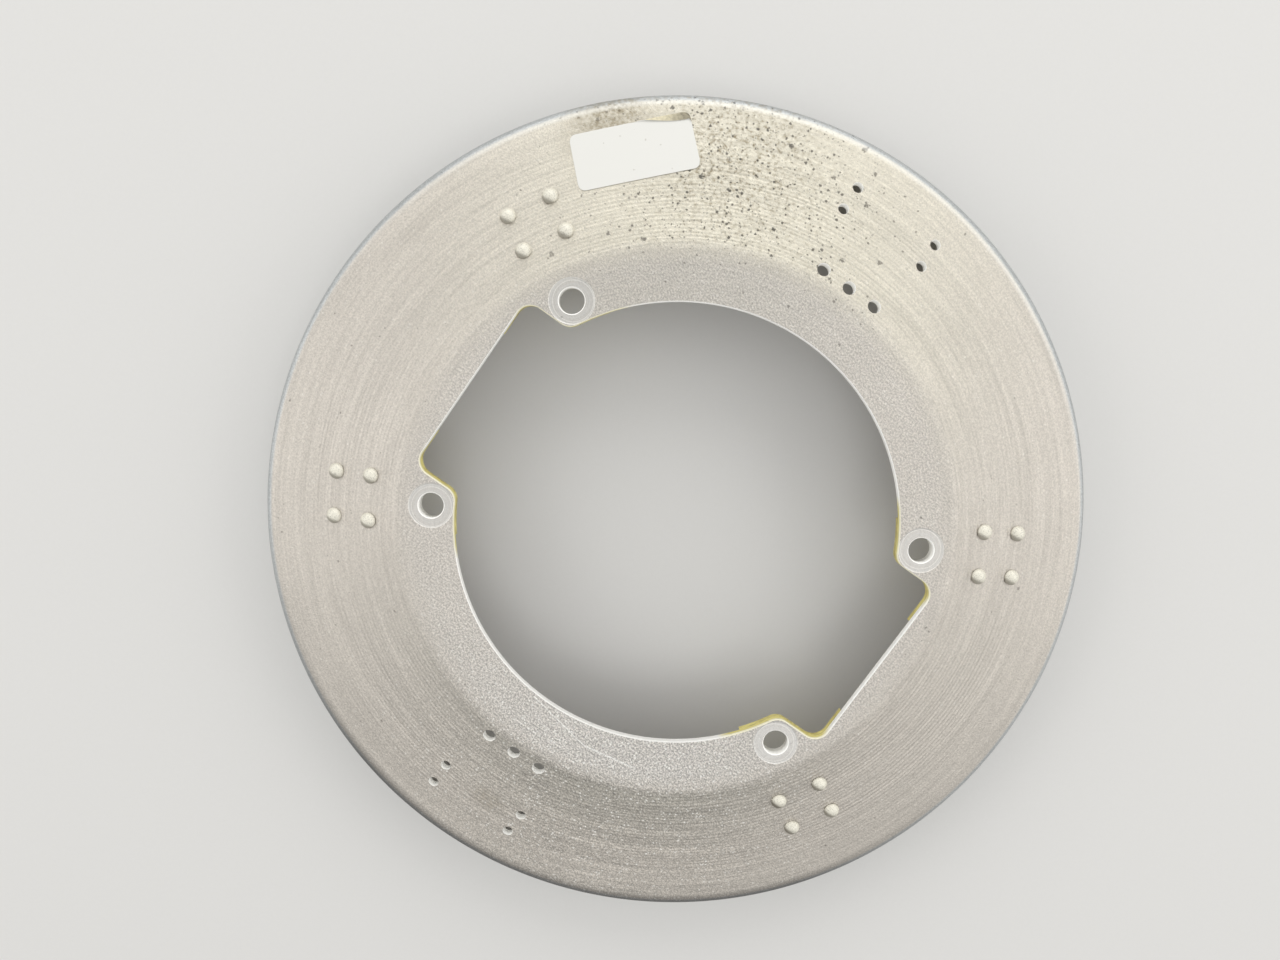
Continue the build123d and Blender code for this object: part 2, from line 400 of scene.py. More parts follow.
def with_ridge_steps(points):
    """Add points along the cone, close enough to carry the spinning ridges."""
    dish = settings("dish")
    fine = dish.ridge_pitch / 5.5
    filled = [points[0]]
    for near, far in zip(points, points[1:]):
        ridged = far.x > dish.ridge_start and near.x < dish.ridge_end and far.x > near.x
        steps = max(1, round((far - near).length / fine)) if ridged else 1
        filled += [near.lerp(far, i / steps) for i in range(1, steps + 1)]
    return filled


def fade(value, start, end):
    """Smooth step from 0 at start to 1 at end."""
    share = min(max((value - start) / (end - start), 0), 1)
    return share * share * (3 - 2 * share)


def tool_track(radius, out):
    """How far the face lies below its true line, from the tool's ridges and the hand's sway."""
    dish = settings("dish")
    inner = fade(radius, dish.ridge_start, dish.ridge_start + FADE_IN)
    outer = 1 - fade(radius, dish.ridge_end - FADE_OUT, dish.ridge_end)
    round_place = Vector((out.x, out.y, 0)) * 2.2
    drift = noise.noise(round_place + Vector((0, 0, radius / DRIFT))) * 0.55
    wave = 0.5 + 0.5 * math.cos(math.tau * (radius / dish.ridge_pitch + drift))
    strength = 0.75 + 0.5 * noise.noise(round_place * 1.7 + Vector((5, 0, radius / VARIATION)))
    label = settings("label")
    label_side = out.dot(Vector((label.centre_x, label.centre_y)).normalized())
    press = 1 + dish.far_press * (1 - label_side) / 2
    sway = 0.5 + 0.5 * noise.noise(Vector((out.x, out.y, 0)) * radius / SWAY)
    edge = fade(radius, dish.rim_radius - dish.rim_bend, dish.rim_radius - 3 * dish.rim_bend)
    ridges = dish.ridge_depth * press * wave * strength * inner * outer
    return ridges + dish.sway * sway * inner * edge


def dish_blank():
    """The spun dish before any hole is cut, as one closed mesh."""
    dish = settings("dish")
    start = dish.opening_radius - 6 * MM
    bends = (dish.break_bend, dish.rim_bend)
    arc_step = 0.4 * MM
    face = with_ridge_steps(rounded(skin_corners(0, start), bends, arc_step))
    back_bends = [bend - dish.sheet for bend in bends]
    back = rounded(skin_corners(dish.sheet, start), back_bends, arc_step)
    face[-1] += Vector((0, dish.edge_break))
    face.append(Vector((dish.rim_radius - dish.edge_break, -dish.depth)))
    back[-1] += Vector((0, dish.edge_break))
    back.append(Vector((dish.rim_radius - dish.sheet + dish.edge_break, -dish.depth)))
    normal = Vector((math.sin(dish.cone_slope), math.cos(dish.cone_slope)))
    loops = []
    for i in range(dish.segments):
        turn = math.tau * i / dish.segments
        out = Vector((math.cos(turn), math.sin(turn)))
        section = [point - normal * tool_track(point.x, out) for point in face] + back[::-1]
        loops.append([Vector((out.x * p.x, out.y * p.x, p.y)) for p in section])
    shape = bmesh.new()
    lofted(shape, loops, closed=False)
    return mesh_of("dish_blank", shape)


def opening_outline(growth):
    """Plan points of the cut-out, grown outwards by a distance."""
    dish = settings("dish")
    radius = dish.opening_radius + growth
    long_side = dish.slot_half_length + growth
    short_side = dish.slot_half_width + growth
    corner = dish.corner_radius + growth
    tip = dish.corner_radius - growth
    tip_y = short_side + tip
    tip_x = math.sqrt((radius + tip) ** 2 - tip_y**2)
    tip_turn = math.atan2(tip_y, tip_x)
    steps = 12
    quarter = []
    for i in range(steps + 1):
        turn = math.pi / 2 * i / steps
        x = long_side - corner + corner * math.cos(turn)
        quarter.append((x, short_side - corner + corner * math.sin(turn)))
    for i in range(steps + 1):
        turn = -math.pi / 2 + (tip_turn - math.pi / 2) * i / steps
        quarter.append((tip_x + tip * math.cos(turn), tip_y + tip * math.sin(turn)))
    round_steps = 48
    for i in range(1, round_steps + 1):
        turn = tip_turn + (math.pi / 2 - tip_turn) * i / round_steps
        quarter.append((radius * math.cos(turn), radius * math.sin(turn)))
    half = quarter + [(-x, y) for x, y in quarter[-2::-1]]
    return half + [(x, -y) for x, y in half[::-1]]


def lug_rivet_seats(quarter):
    """Seats of the four rivets in one lug."""
    rivets, holes = settings("rivets"), settings("holes")
    along = Vector((holes.bolt_x, holes.bolt_y)).normalized()
    across = Vector((-along.y, along.x))
    spots = [
        along * row + across * side * rivets.half_pitch
        for row in (rivets.row_near, rivets.row_far)
        for side in (-1, 1)
    ]
    return [on_cone(quarter[0] * spot.x, quarter[1] * spot.y) for spot in spots]


def bracket_seats():
    """Seat and radius of each plain bracket hole, at both ends of the Y axis."""
    holes = settings("holes")
    steps = (-1, 0, 1)
    spots = [(step * holes.inner_pitch, holes.inner_row, holes.inner_radius) for step in steps]
    spots += [
        (side * holes.outer_half_width, row, holes.outer_radius)
        for side in (-1, 1)
        for row in (holes.outer_low, holes.outer_high)
    ]
    return [(on_cone(x, end * y), radius) for end in (-1, 1) for x, y, radius in spots]


def screw_turns():
    """Angle and height of each screw hole round the rim, from the record."""
    return [(math.atan2(s["axis"][1], s["axis"][0]), s["pos_m"][2]) for s in SCREWS]


def dish_cutters():
    """Every cut in the dish as one mesh of closed tools."""
    dish, holes, rivets = settings("dish"), settings("holes"), settings("rivets")
    shape = bmesh.new()
    lip = dish.edge_break
    steps = ((0, BELOW), (0, -lip), (lip, 0), (lip, ABOVE))
    lofted(shape, [[(x, y, z) for x, y in opening_outline(growth)] for growth, z in steps])
    for side_x, side_y in QUARTERS:
        seat = Matrix.Translation((side_x * holes.bolt_x, side_y * holes.bolt_y, 0))
        bore = [(holes.bolt_radius + growth, z) for growth, z in steps]
        lofted(shape, turned_loops(bore, BOLT_SIDES, seat))
    for quarter in QUARTERS:
        for seat in lug_rivet_seats(quarter):
            shank = rivets.shank + rivets.seat_gap
            bore = [(shank, BELOW), (shank, ABOVE)]
            lofted(shape, turned_loops(bore, SHANK_SIDES, seat))
    lip = holes.hole_break
    for seat, radius in bracket_seats():
        foot = -lip - dish.ridge_depth
        bore = [(radius, BELOW), (radius, foot), (radius + lip, 0), (radius + lip, ABOVE)]
        lofted(shape, turned_loops(bore, BRACKET_SIDES, seat))
    lead = rivets.flush_head - rivets.flush_shank
    sunk = -lead / math.tan(FLUSH_ANGLE)
    shank = rivets.flush_shank + rivets.seat_gap
    flush = [(shank, BELOW), (shank, sunk), (shank + 2 * lead, -sunk)]
    reach = rivets.nut_reach / (dish.rim_radius - dish.sheet)
    for turn, height in screw_turns():
        bore = [(holes.screw_radius, BELOW), (holes.screw_radius, ABOVE)]
        lofted(shape, turned_loops(bore, SCREW_SIDES, on_rim(turn, height)))
        for side in (-1, 1):
            seat = on_rim(turn + side * reach, height)
            lofted(shape, turned_loops(flush, SHANK_SIDES, seat))
    return mesh_of("dish_cutters", shape)


# Finishes

# Plan radii in mm: the middle of the cone, and those between which the finish changes
MIDDLE_RADIUS = 140.0
BEND = (107.0, 118.0)
# Painted shade lies in a band past the bend at the far end, between these radii
SHADE_BAND_START, SHADE_BAND_END = (113.5, 117.5), (150.0, 118.0)
CUT_WALLS_END = 170.0
# Radii of the rim's painted shade and of its painted highlight line
SHADED_EDGE = (171.2, 176.0)
HIGHLIGHT_LINE = (172.6, 174.0)
ROLLED_EDGE = (174.2, 175.4)

# The bolts' washers, in mm: where the pressed disc fades, how far a washer has shifted, and the
# radius and half width of the painted highlights, pale rings round the disc and the shifted washer
WASHER_EDGE = (9.6, 9.0)
WASHER_SHIFT = (0.5, -0.3, 0)
DISC_LINE, SHIFTED_LINE = (9.35, 0.16), (8.3, 0.12)

# Where the finish of the dish has aged, and where painted shade and painted highlights lie: a point
# of the part and how far the mark reaches from it, in mm, and how much the mark is squeezed along X
# and Y
AGED_AND_PAINTED_LIGHT_SPOTS = {
    "spoiled": ((-58, 124, 0), 102.0, (1, 1, 0)),
    "worst": ((-70, 140, 0), 50.0, (1, 1, 0)),
    "yellowed": ((-58, 128, 0), 190.0, (1, 1, 0)),
    # Painted shade on the flat toward the label's end
    "flat_shade": ((-58, 82, 0), 130.0, (1, 1, 0)),
    "far": ((46, -114, 0), 152.0, (1, 1, 0)),
    "by_hole": ((-17, 124, 0), 9.0, (1, 1, 0)),
    "stain": ((-120, 121, 0), 26.0, (1, 0.8, 0)),
    "smudge": ((4, -148, 0), 13.0, (1, 1.6, 0)),
    # Painted highlight on the rolled edge, painted shade on it at the far end, and painted shadow
    # under the label's lifted corner
    "highlighted": ((-60, 164, 0), 260.0, (1, 1, 0)),
    "rim_shade_spot": ((55, -165, 0), 250.0, (1, 1, 0)),
    "lifted_corner_shadow": ((-90, 141, 0), 19.0, (1, 1, 0)),
}

# Plan points in mm that the scratch on the flat runs through, and the width of each run
SCRATCH = (((-7, -94), (23, -99.5), 0.5), ((23, -99.5), (45, -95.5), 0.8))


def fill(node, inputs):
    """Set or link a node's inputs, each given by its name or number."""
    for name, value in inputs.items():
        if isinstance(value, bpy.types.Node):
            value = value.outputs[0]
        if isinstance(value, bpy.types.NodeSocket):
            node.id_data.links.new(value, node.inputs[name])
        elif value is not None:
            node.inputs[name].default_value = value


def add_node(tree, kind, *values, **named):
    """Add one shader node. Values fill its inputs in order, where None leaves one as it is. Each
    named value is the node's own setting or else goes to the input of that name. A MapRange node
    takes its value, the low and high that it comes from, and the low and high that it goes to."""
    node = tree.nodes.new("ShaderNode" + kind)
    inputs = dict(enumerate(values))
    for name, value in named.items():
        if hasattr(node, name):
            setattr(node, name, value)
        else:
            inputs[name] = value
    fill(node, inputs)
    return node


def new_finish(name):
    """A new material, what adds a node to it, and its shader."""
    material = bpy.data.materials.new(name)
    material.use_nodes = True
    tree = material.node_tree
    return material, partial(add_node, tree), tree.nodes["Principled BSDF"]


def laid_over(add, tone, *layers):
    """Lay colours over a tone one after another, each where its own mask says."""
    # Inputs for plain numbers and vectors stand between a Mix node's share and its colours
    unused = [None] * 5
    for mask, over in layers:
        tone = add("Mix", mask, *unused, tone, over, data_type="RGBA").outputs[2]
    return tone


def place_nodes(add):
    """Sockets for a point of the part in mm: the point, its plan radius and its plan direction."""
    spot = add("TexCoord")
    point = add("VectorMath", spot.outputs["Object"], Scale=1 / MM, operation="SCALE")
    plan = add("VectorMath", point, (1, 1, 0), operation="MULTIPLY")
    radius = add("VectorMath", plan, operation="LENGTH").outputs["Value"]
    out = add("VectorMath", plan, operation="NORMALIZE")
    normal = spot.outputs["Normal"]
    return {"point": point, "plan": plan, "radius": radius, "out": out, "normal": normal}


def turned_streaks(add, place, pitch, run, detail=2.0):
    """Noise drawn out along the turning direction: streaks one pitch apart and about one run long.
    They go on down the rim, because height counts as radius does."""
    round_part = add("VectorMath", place["out"], Scale=MIDDLE_RADIUS / run, operation="SCALE")
    height = add("SeparateXYZ", place["point"]).outputs["Z"]
    track = add("Math", place["radius"], height, operation="SUBTRACT")
    across = add("Math", track, 1 / pitch, operation="MULTIPLY")
    lift = add("CombineXYZ", Z=across)
    spot = add("VectorMath", round_part, lift, operation="ADD")
    return add("TexNoise", Vector=spot, Scale=1.0, Detail=detail)


def aged_and_painted_light_spot(add, place, name):
    """A mask that is 1 at the middle of a spot of age or of painted light and fades to 0 at its
    reach.
    """
    centre, reach, squeeze = AGED_AND_PAINTED_LIGHT_SPOTS[name]
    offset = add("VectorMath", place["point"], centre, operation="SUBTRACT")
    shaped = add("VectorMath", offset, squeeze, operation="MULTIPLY")
    away = add("VectorMath", shaped, operation="LENGTH").outputs["Value"]
    return add("MapRange", away, reach, 0.0, interpolation_type="SMOOTHERSTEP")


def specks(add, spot, cell, size, share):
    """Specks: one may stand in each cell, and a share of the cells, from 0 to 1, has one."""
    cells = add("TexVoronoi", Vector=spot, Scale=1 / cell)
    parts = add("SeparateColor", cells.outputs["Color"])
    there = add("Math", parts.outputs["Red"], share, operation="LESS_THAN")
    grown = add("Math", parts.outputs["Green"], 0.8, 0.4, operation="MULTIPLY_ADD")
    edge = add("Math", grown, size / cell, operation="MULTIPLY")
    filled = add("MapRange", cells.outputs["Distance"], edge, 0.0, 0.0, 2.5)
    solid = add("Math", filled, 1.0, operation="MINIMUM")
    return add("Math", solid, there, operation="MULTIPLY")


def ragged(add, place, reach, size):
    """Points of the part pushed about by noise, so that what is drawn on them has ragged edges."""
    push = add("TexNoise", Vector=place["point"], Scale=1 / size, Detail=2.0)
    centred = add("VectorMath", push.outputs["Color"], (0.5, 0.5, 0.5), operation="SUBTRACT")
    scaled = add("VectorMath", centred, Scale=2 * reach, operation="SCALE")
    return add("VectorMath", place["point"], scaled, operation="ADD")


def scratch_run(add, spot, start, end, width):
    """A mask for a straight run of a scratch between two plan points, in mm."""
    run = Vector(end) - Vector(start)
    along, across = (*run.normalized(), 0), (*run.orthogonal().normalized(), 0)
    offset = add("VectorMath", spot, (*start, 0), operation="SUBTRACT")
    aside = add("VectorMath", offset, across, operation="DOT_PRODUCT")
    ahead = add("VectorMath", offset, along, operation="DOT_PRODUCT")
    line = add("Math", aside.outputs["Value"], 0.0, width / 2, operation="COMPARE")
    half = run.length / 2
    within = add("Math", ahead.outputs["Value"], half, half, operation="COMPARE")
    return add("Math", line, within, operation="MULTIPLY")


def from_bolt(add, place):
    """Plan offset from the nearest hub bolt and its length, in mm. The signs of X and Y fold the
    four lugs onto one, so that one bolt stands for all."""
    holes = settings("holes")
    folded = add("VectorMath", place["plan"], operation="ABSOLUTE")
    bolt = (holes.bolt_x / MM, holes.bolt_y / MM, 0)
    offset = add("VectorMath", folded, bolt, operation="SUBTRACT")
    return offset, add("VectorMath", offset, operation="LENGTH").outputs["Value"]


def spun_masks(add, place):
    """Masks for the forms of the dish and for where its finish has aged."""
    radius = place["radius"]
    cone = add("MapRange", radius, *BEND)
    flat = add("Math", 1.0, cone, operation="SUBTRACT")
    rolled = add("MapRange", radius, *ROLLED_EDGE)
    upright = add("SeparateXYZ", place["normal"]).outputs["Z"]
    level = add("Math", upright, operation="ABSOLUTE")
    steep = add("MapRange", level, 0.84, 0.74)
    front = add("MapRange", upright, 0.1, 0.3)
    within = add("Math", radius, CUT_WALLS_END, operation="LESS_THAN")
    wall = add("Math", steep, within, operation="MULTIPLY")

    offset, reach = from_bolt(add, place)
    shifted = add("VectorMath", offset, WASHER_SHIFT, operation="ADD")
    shifted_reach = add("VectorMath", shifted, operation="LENGTH").outputs["Value"]
    washer = add("MapRange", reach, *WASHER_EDGE)

    spoiled = aged_and_painted_light_spot(add, place, "spoiled")
    for limit in (cone, front):
        spoiled = add("Math", spoiled, limit, operation="MULTIPLY")
    yellowed = aged_and_painted_light_spot(add, place, "yellowed")
    yellowed = add("Math", yellowed, cone, operation="MULTIPLY")
    return {
        "cone": cone, "flat": flat, "rolled": rolled, "wall": wall, "front": front, "reach": reach,
        "shifted_reach": shifted_reach, "washer": washer, "spoiled": spoiled, "yellowed": yellowed,
        "far": aged_and_painted_light_spot(add, place, "far"),
    }


def aged_tone(add, place, masks):
    """Colour of the bare face: greyer and clean on the flat, yellowed on the cone at the label's
    end, darkened by painted shade in a band past the bend at the far end and on the flat at the
    label's end, and streaked by the spinning."""
    colours = settings("colours")
    clean = add("Math", masks["far"], 0.7, 0.3, operation="MULTIPLY_ADD")
    clean = add("Math", masks["flat"], clean, operation="MULTIPLY")
    # Painted shade: the flat darker toward the label's end, and a band past the bend darker at the
    # far end
    flat_shade = aged_and_painted_light_spot(add, place, "flat_shade")
    for share in (masks["flat"], 0.26):
        flat_shade = add("Math", flat_shade, share, operation="MULTIPLY")
    start = add("MapRange", place["radius"], *SHADE_BAND_START)
    end = add("MapRange", place["radius"], *SHADE_BAND_END)
    band = add("Math", start, end, operation="MULTIPLY")
    band = add("Math", band, masks["far"], operation="MULTIPLY")
    band = add("Math", band, 0.42, flat_shade, operation="MULTIPLY_ADD")
    tone = laid_over(
        add, colours.bare, (masks["yellowed"], colours.warm), (clean, colours.cool),
        (band, colours.shade_grey), (masks["rolled"], colours.rubbed),
    )

    # The tool's marks are about 0.1 mm apart, too fine to show, so they are drawn 1.1 mm apart
    streaks = turned_streaks(add, place, 1.1, 22.0)
    rings = turned_streaks(add, place, 2.2, 80.0)
    clouds = add("TexNoise", Vector=place["point"], Scale=1 / 26, Detail=5.0)
    ring_depth = add("Math", masks["far"], 0.3, 0.3, operation="MULTIPLY_ADD")
    ring_depth = add("Math", ring_depth, masks["cone"], operation="MULTIPLY")
    centred = add("Math", rings, 0.5, operation="SUBTRACT")
    shade = add("Math", streaks, 0.22, 0.84, operation="MULTIPLY_ADD")
    shade = add("Math", clouds, 0.1, shade, operation="MULTIPLY_ADD")
    shade = add("Math", centred, ring_depth, shade, operation="MULTIPLY_ADD")
    return add("VectorMath", tone, Scale=shade, operation="SCALE")


def grit_marks(add, place, masks, spot):
    """Grit of the bloom, boldest on the flat and at the far end and faint under the washers: its
    noise, depth, shade and painted glint specks, pale dots that stand for highlights on the grains,
    brighter at the far end. It is about 0.1 mm across, too fine to show, so it is drawn at 0.8 mm."""
    grit = add("TexNoise", Vector=place["point"], Scale=1 / 0.8, Detail=3.0, Roughness=0.7)
    fleck = add("MapRange", grit, 0.4, 0.62, -0.5, 0.5)
    depth = add("Math", masks["flat"], 0.2, 0.22, operation="MULTIPLY_ADD")
    depth = add("Math", masks["far"], 0.36, depth, operation="MULTIPLY_ADD")
    unpressed = add("Math", masks["washer"], -0.7, 1.0, operation="MULTIPLY_ADD")
    depth = add("Math", depth, unpressed, operation="MULTIPLY")
    shade = add("Math", fleck, depth, 1.0, operation="MULTIPLY_ADD")
    share = add("Math", depth, 0.15, operation="SUBTRACT")
    # Painted glint specks: pale dots standing for highlights on the grains, brighter at the far end
    painted_glints = specks(add, spot, 1.2, 0.5, share)
    painted_highlight = add("Math", masks["far"], 0.5, 0.2, operation="MULTIPLY_ADD")
    return grit, depth, shade, add("Math", painted_glints, painted_highlight, operation="MULTIPLY")


def pit_marks(add, place, masks, spot, clouding):
    """Brown film and dark pits, most of all between the label and the bracket holes: the film, the
    pits' shapes and how dark the pits are."""
    spoiled = masks["spoiled"]
    worst = aged_and_painted_light_spot(add, place, "worst")
    worst = add("Math", worst, masks["front"], operation="MULTIPLY")
    film_share = add("Math", worst, 1.2, spoiled, operation="MULTIPLY_ADD")
    film = add("MapRange", clouding, 0.48, 0.66, 0.0, 0.5)
    film = add("Math", film, film_share, operation="MULTIPLY", use_clamp=True)

    share = add("Math", spoiled, 0.6, 0.01, operation="MULTIPLY_ADD")
    by_hole = aged_and_painted_light_spot(add, place, "by_hole")
    share = add("Math", by_hole, 0.9, share, operation="MULTIPLY_ADD")
    pits = specks(add, spot, 2.0, 0.68, share)
    big_share = add("Math", spoiled, 0.25, operation="MULTIPLY")
    big_pits = specks(add, ragged(add, place, 1.3, 1.2), 4.4, 1.2, big_share)
    small_share = add("Math", spoiled, 0.6, 0.02, operation="MULTIPLY_ADD")
    small_pits = specks(add, spot, 1.1, 0.4, small_share)
    small_pits = add("Math", small_pits, 0.55, operation="MULTIPLY")
    for others in (big_pits, small_pits):
        pits = add("Math", pits, others, operation="MAXIMUM")
    dark = add("Math", spoiled, 0.45, 0.35, operation="MULTIPLY_ADD")
    return film, pits, add("Math", pits, dark, operation="MULTIPLY")


def stain_marks(add, place, masks, clouding):
    """Stain between the label and the rolled edge, and a smudge between two bracket holes."""
    stain, smudge = aged_and_painted_light_spot(add, place, "stain"), aged_and_painted_light_spot(add, place, "smudge")
    stain = add("Math", smudge, 0.5, stain, operation="MULTIPLY_ADD")
    patchy = add("MapRange", clouding, 0.35, 0.6, 0.0, 0.8)
    for limit in (patchy, masks["front"]):
        stain = add("Math", stain, limit, operation="MULTIPLY")
    return stain


def washer_marks(add, masks):
    """Turned arcs in the discs pressed smooth by the bolts' washers, and painted highlights: pale
    rings round a disc and where its washer has shifted."""
    arc_place = add("CombineXYZ", X=masks["shifted_reach"])
    arcs = add("TexNoise", Vector=arc_place, Scale=2.0, Detail=2.0)
    arcs = add("MapRange", arcs, 0.35, 0.65, 0.0, 0.5)
    arcs = add("Math", arcs, masks["washer"], operation="MULTIPLY")
    disc_line = add("Math", masks["reach"], *DISC_LINE, operation="COMPARE")
    ring = add("Math", masks["shifted_reach"], *SHIFTED_LINE, operation="COMPARE")
    painted_edge_lines = add("Math", disc_line, ring, operation="MAXIMUM")
    return arcs, add("Math", painted_edge_lines, 0.4, operation="MULTIPLY")


def scratch_mark(add, place, grit):
    """The long scratch on the flat, broken up by the grit that it skipped over."""
    track = ragged(add, place, 0.6, 9.0)
    first, second = [scratch_run(add, track, *run) for run in SCRATCH]
    line = add("Math", first, second, operation="MAXIMUM")
    broken = add("MapRange", grit, 0.4, 0.6, 0.3, 0.9)
    return add("Math", line, broken, operation="MULTIPLY")


def rim_marks(add, place, masks):
    """The rolled edge: a painted highlight on a line just inside it, strongest toward the label's
    end, and painted shade on it at the far end.
    """
    radius = place["radius"]
    # Painted highlight: a pale line just inside the rolled edge, strongest toward the label's end
    rise = add("MapRange", radius, *HIGHLIGHT_LINE)
    painted_highlight = add("Math", rise, masks["rolled"], operation="SUBTRACT", use_clamp=True)
    highlighted = aged_and_painted_light_spot(add, place, "highlighted")
    highlighted = add("MapRange", highlighted, 0.0, 0.5, 0.0, 0.38)
    painted_highlight = add("Math", painted_highlight, highlighted, operation="MULTIPLY")
    # Painted shade on the rolled edge at the far end
    shaded = add("MapRange", radius, *SHADED_EDGE, 0.0, 0.85)
    rim_shade_spot = aged_and_painted_light_spot(add, place, "rim_shade_spot")
    rim_shade_spot = add("MapRange", rim_shade_spot, 0.0, 0.65)
    for limit in (rim_shade_spot, masks["front"]):
        shaded = add("Math", shaded, limit, operation="MULTIPLY")
    return painted_highlight, shaded


def primer_run(add, place, masks):
    """The doublers' primer, run over the cut walls by the lugs but not into the bolt holes."""
    near_lug = add("MapRange", masks["reach"], 25.0, 20.0)
    height = add("SeparateXYZ", place["point"]).outputs["Z"]
    below = add("MapRange", height, -1.0, -1.5, 0.4)
    bore = settings("holes").bolt_radius / MM + 1
    outside_bore = add("Math", masks["reach"], bore, operation="GREATER_THAN")
    run = masks["wall"]
    for limit in (near_lug, below, outside_bore):
        run = add("Math", run, limit, operation="MULTIPLY")
    return run


def spun_aluminium():
    """Aluminium sheet spun over a former, bare and aged. The eye sees fine turned rings under a
    grainy, matt bloom, with dark pits and a brown film where the finish has yellowed. The cut
    walls are fresh metal under a chalky oxide, so they look white."""
    colours = settings("colours")
    material, add, shader = new_finish("spun aluminium, bare and aged")
    place = place_nodes(add)
    masks = spun_masks(add, place)
    wall, washer = masks["wall"], masks["washer"]
    spot = ragged(add, place, 0.5, 0.7)
    clouding = add("TexNoise", Vector=place["point"], Scale=1 / 1.6, Detail=6.0, Roughness=0.7)
    grit, depth, shade, painted_glints = grit_marks(add, place, masks, spot)
    film, pits, pit_shade = pit_marks(add, place, masks, spot, clouding)
    stain = stain_marks(add, place, masks, clouding)
    arcs, painted_edge_lines = washer_marks(add, masks)
    scratch = scratch_mark(add, place, grit)
    # The scratch is pale metal, and the washers' pale rings are painted highlights
    scratch_and_highlight = add("Math", scratch, painted_edge_lines, operation="MAXIMUM")
    scratch_and_highlight = add("Math", scratch_and_highlight, masks["front"], operation="MULTIPLY")
    painted_highlight, shaded = rim_marks(add, place, masks)
    run = primer_run(add, place, masks)

    bare = add("VectorMath", aged_tone(add, place, masks), Scale=shade, operation="SCALE")
    # Among these layers the glint specks, the washers' rings and the rim's line are painted
    # highlights, and the rim's dark edge at the far end is painted shade
    tone = laid_over(
        add, bare, (painted_glints, colours.pale), (film, colours.mottle), (pit_shade, colours.pit_and_shade),
        (stain, colours.mottle), (arcs, colours.pressed), (scratch_and_highlight, colours.pale),
        (painted_highlight, colours.pale), (shaded, colours.pit_and_shade), (wall, colours.pale), (run, colours.primer),
    )
    metal = add("Math", wall, -0.9, 1.0, operation="MULTIPLY_ADD")
    metal = add("Math", metal, run, operation="SUBTRACT", use_clamp=True)

    rough = add("Math", grit, 0.12, 0.44, operation="MULTIPLY_ADD")
    for mark, change in ((pits, 0.2), (masks["rolled"], -0.12)):
        rough = add("Math", mark, change, rough, operation="MULTIPLY_ADD")

    # The tool's finest marks, too fine to show, are drawn 0.35 mm apart
    turned = turned_streaks(add, place, 0.35, 30.0, 1.0)
    relief = add("Math", turned, 0.03, operation="MULTIPLY")
    depth = add("Math", depth, 0.8, 0.1, operation="MULTIPLY_ADD")
    for mark, height in ((grit, depth), (pits, -0.06), (washer, -0.2)):
        relief = add("Math", mark, height, relief, operation="MULTIPLY_ADD")
    bump = add("Bump", Distance=MM, Strength=1.0, Height=relief)
    fill(shader, {"Base Color": tone, "Metallic": metal, "Roughness": rough, "Normal": bump})
    return material


def chromate_primer():
    """Aluminium sheet brushed with yellow-green chromate primer. The eye sees a flat, uneven coat,
    browner where it is thick, and bare metal in the bolt hole, which was drilled through it."""
    colours = settings("colours")
    material, add, shader = new_finish("chromate primer, brushed on")
    place = place_nodes(add)
    brushed = add("VectorMath", place["point"], (1.0, 0.25, 1.0), operation="MULTIPLY")
    coat = add("TexNoise", Vector=brushed, Scale=1 / 3, Detail=5.0, Roughness=0.65)
    thick = add("MapRange", coat, 0.36, 0.72, 0.0, 0.85)
    reach = from_bolt(add, place)[1]
    bore = settings("holes").bolt_radius / MM + 0.3
    bored = add("Math", reach, bore, operation="LESS_THAN")
    tone = laid_over(add, colours.primer, (thick, colours.primer_worn), (bored, colours.pale))
    bump = add("Bump", Distance=0.04 * MM, Strength=1.0, Height=coat)
    fill(shader, {"Base Color": tone, "Metallic": bored, "Roughness": 0.5, "Normal": bump})
    return material


def rivet_aluminium():
    """Soft aluminium rivets, driven with a cupped set and gone chalky. The eye sees creamy heads
    with a fine grain and small marks. Painted shade darkens each head on the side that faces the
    far end, most at the far end, and all round its foot."""
    colours = settings("colours")
    material, add, shader = new_finish("rivet aluminium, driven")
    place = place_nodes(add)
    # The set's marks are about 0.1 mm across, too fine to show, so they are drawn at 0.5 mm
    marks = add("TexNoise", Vector=place["point"], Scale=1 / 0.5, Detail=4.0)
    dark = add("MapRange", marks, 0.5, 0.66, 0.0, 0.35)
    upright = add("SeparateXYZ", place["normal"]).outputs["Z"]
    # Painted shade round the foot of each head, where its side turns down to the sheet
    foot = add("MapRange", upright, 0.4, 0.1, 0.0, 0.15)
    # Painted shade on the side of each head that faces the far end, stronger at the far end
    lean = add("VectorMath", place["normal"], (0.12, -0.99, 0), operation="DOT_PRODUCT")
    lean = lean.outputs["Value"]
    lower_shade = add("MapRange", lean, 0.25, 0.55, 0.0, 0.5)
    shaded_side = add("MapRange", lean, -0.15, 0.35)
    far = aged_and_painted_light_spot(add, place, "far")
    side_shade = add("Math", far, 0.5, 0.15, operation="MULTIPLY_ADD")
    lower_shade = add("Math", shaded_side, side_shade, lower_shade, operation="MULTIPLY_ADD")
    foot = add("Math", foot, lower_shade, operation="MAXIMUM")
    on_face = add("Math", place["radius"], CUT_WALLS_END, operation="LESS_THAN")
    foot = add("Math", foot, on_face, operation="MULTIPLY")
    tone = laid_over(add, colours.rivet, (dark, colours.pit_and_shade), (foot, colours.painted_shade))
    bump = add("Bump", Distance=0.12 * MM, Strength=1.0, Height=marks)
    fill(shader, {"Base Color": tone, "Metallic": 0.2, "Roughness": 0.42, "Normal": bump})
    return material


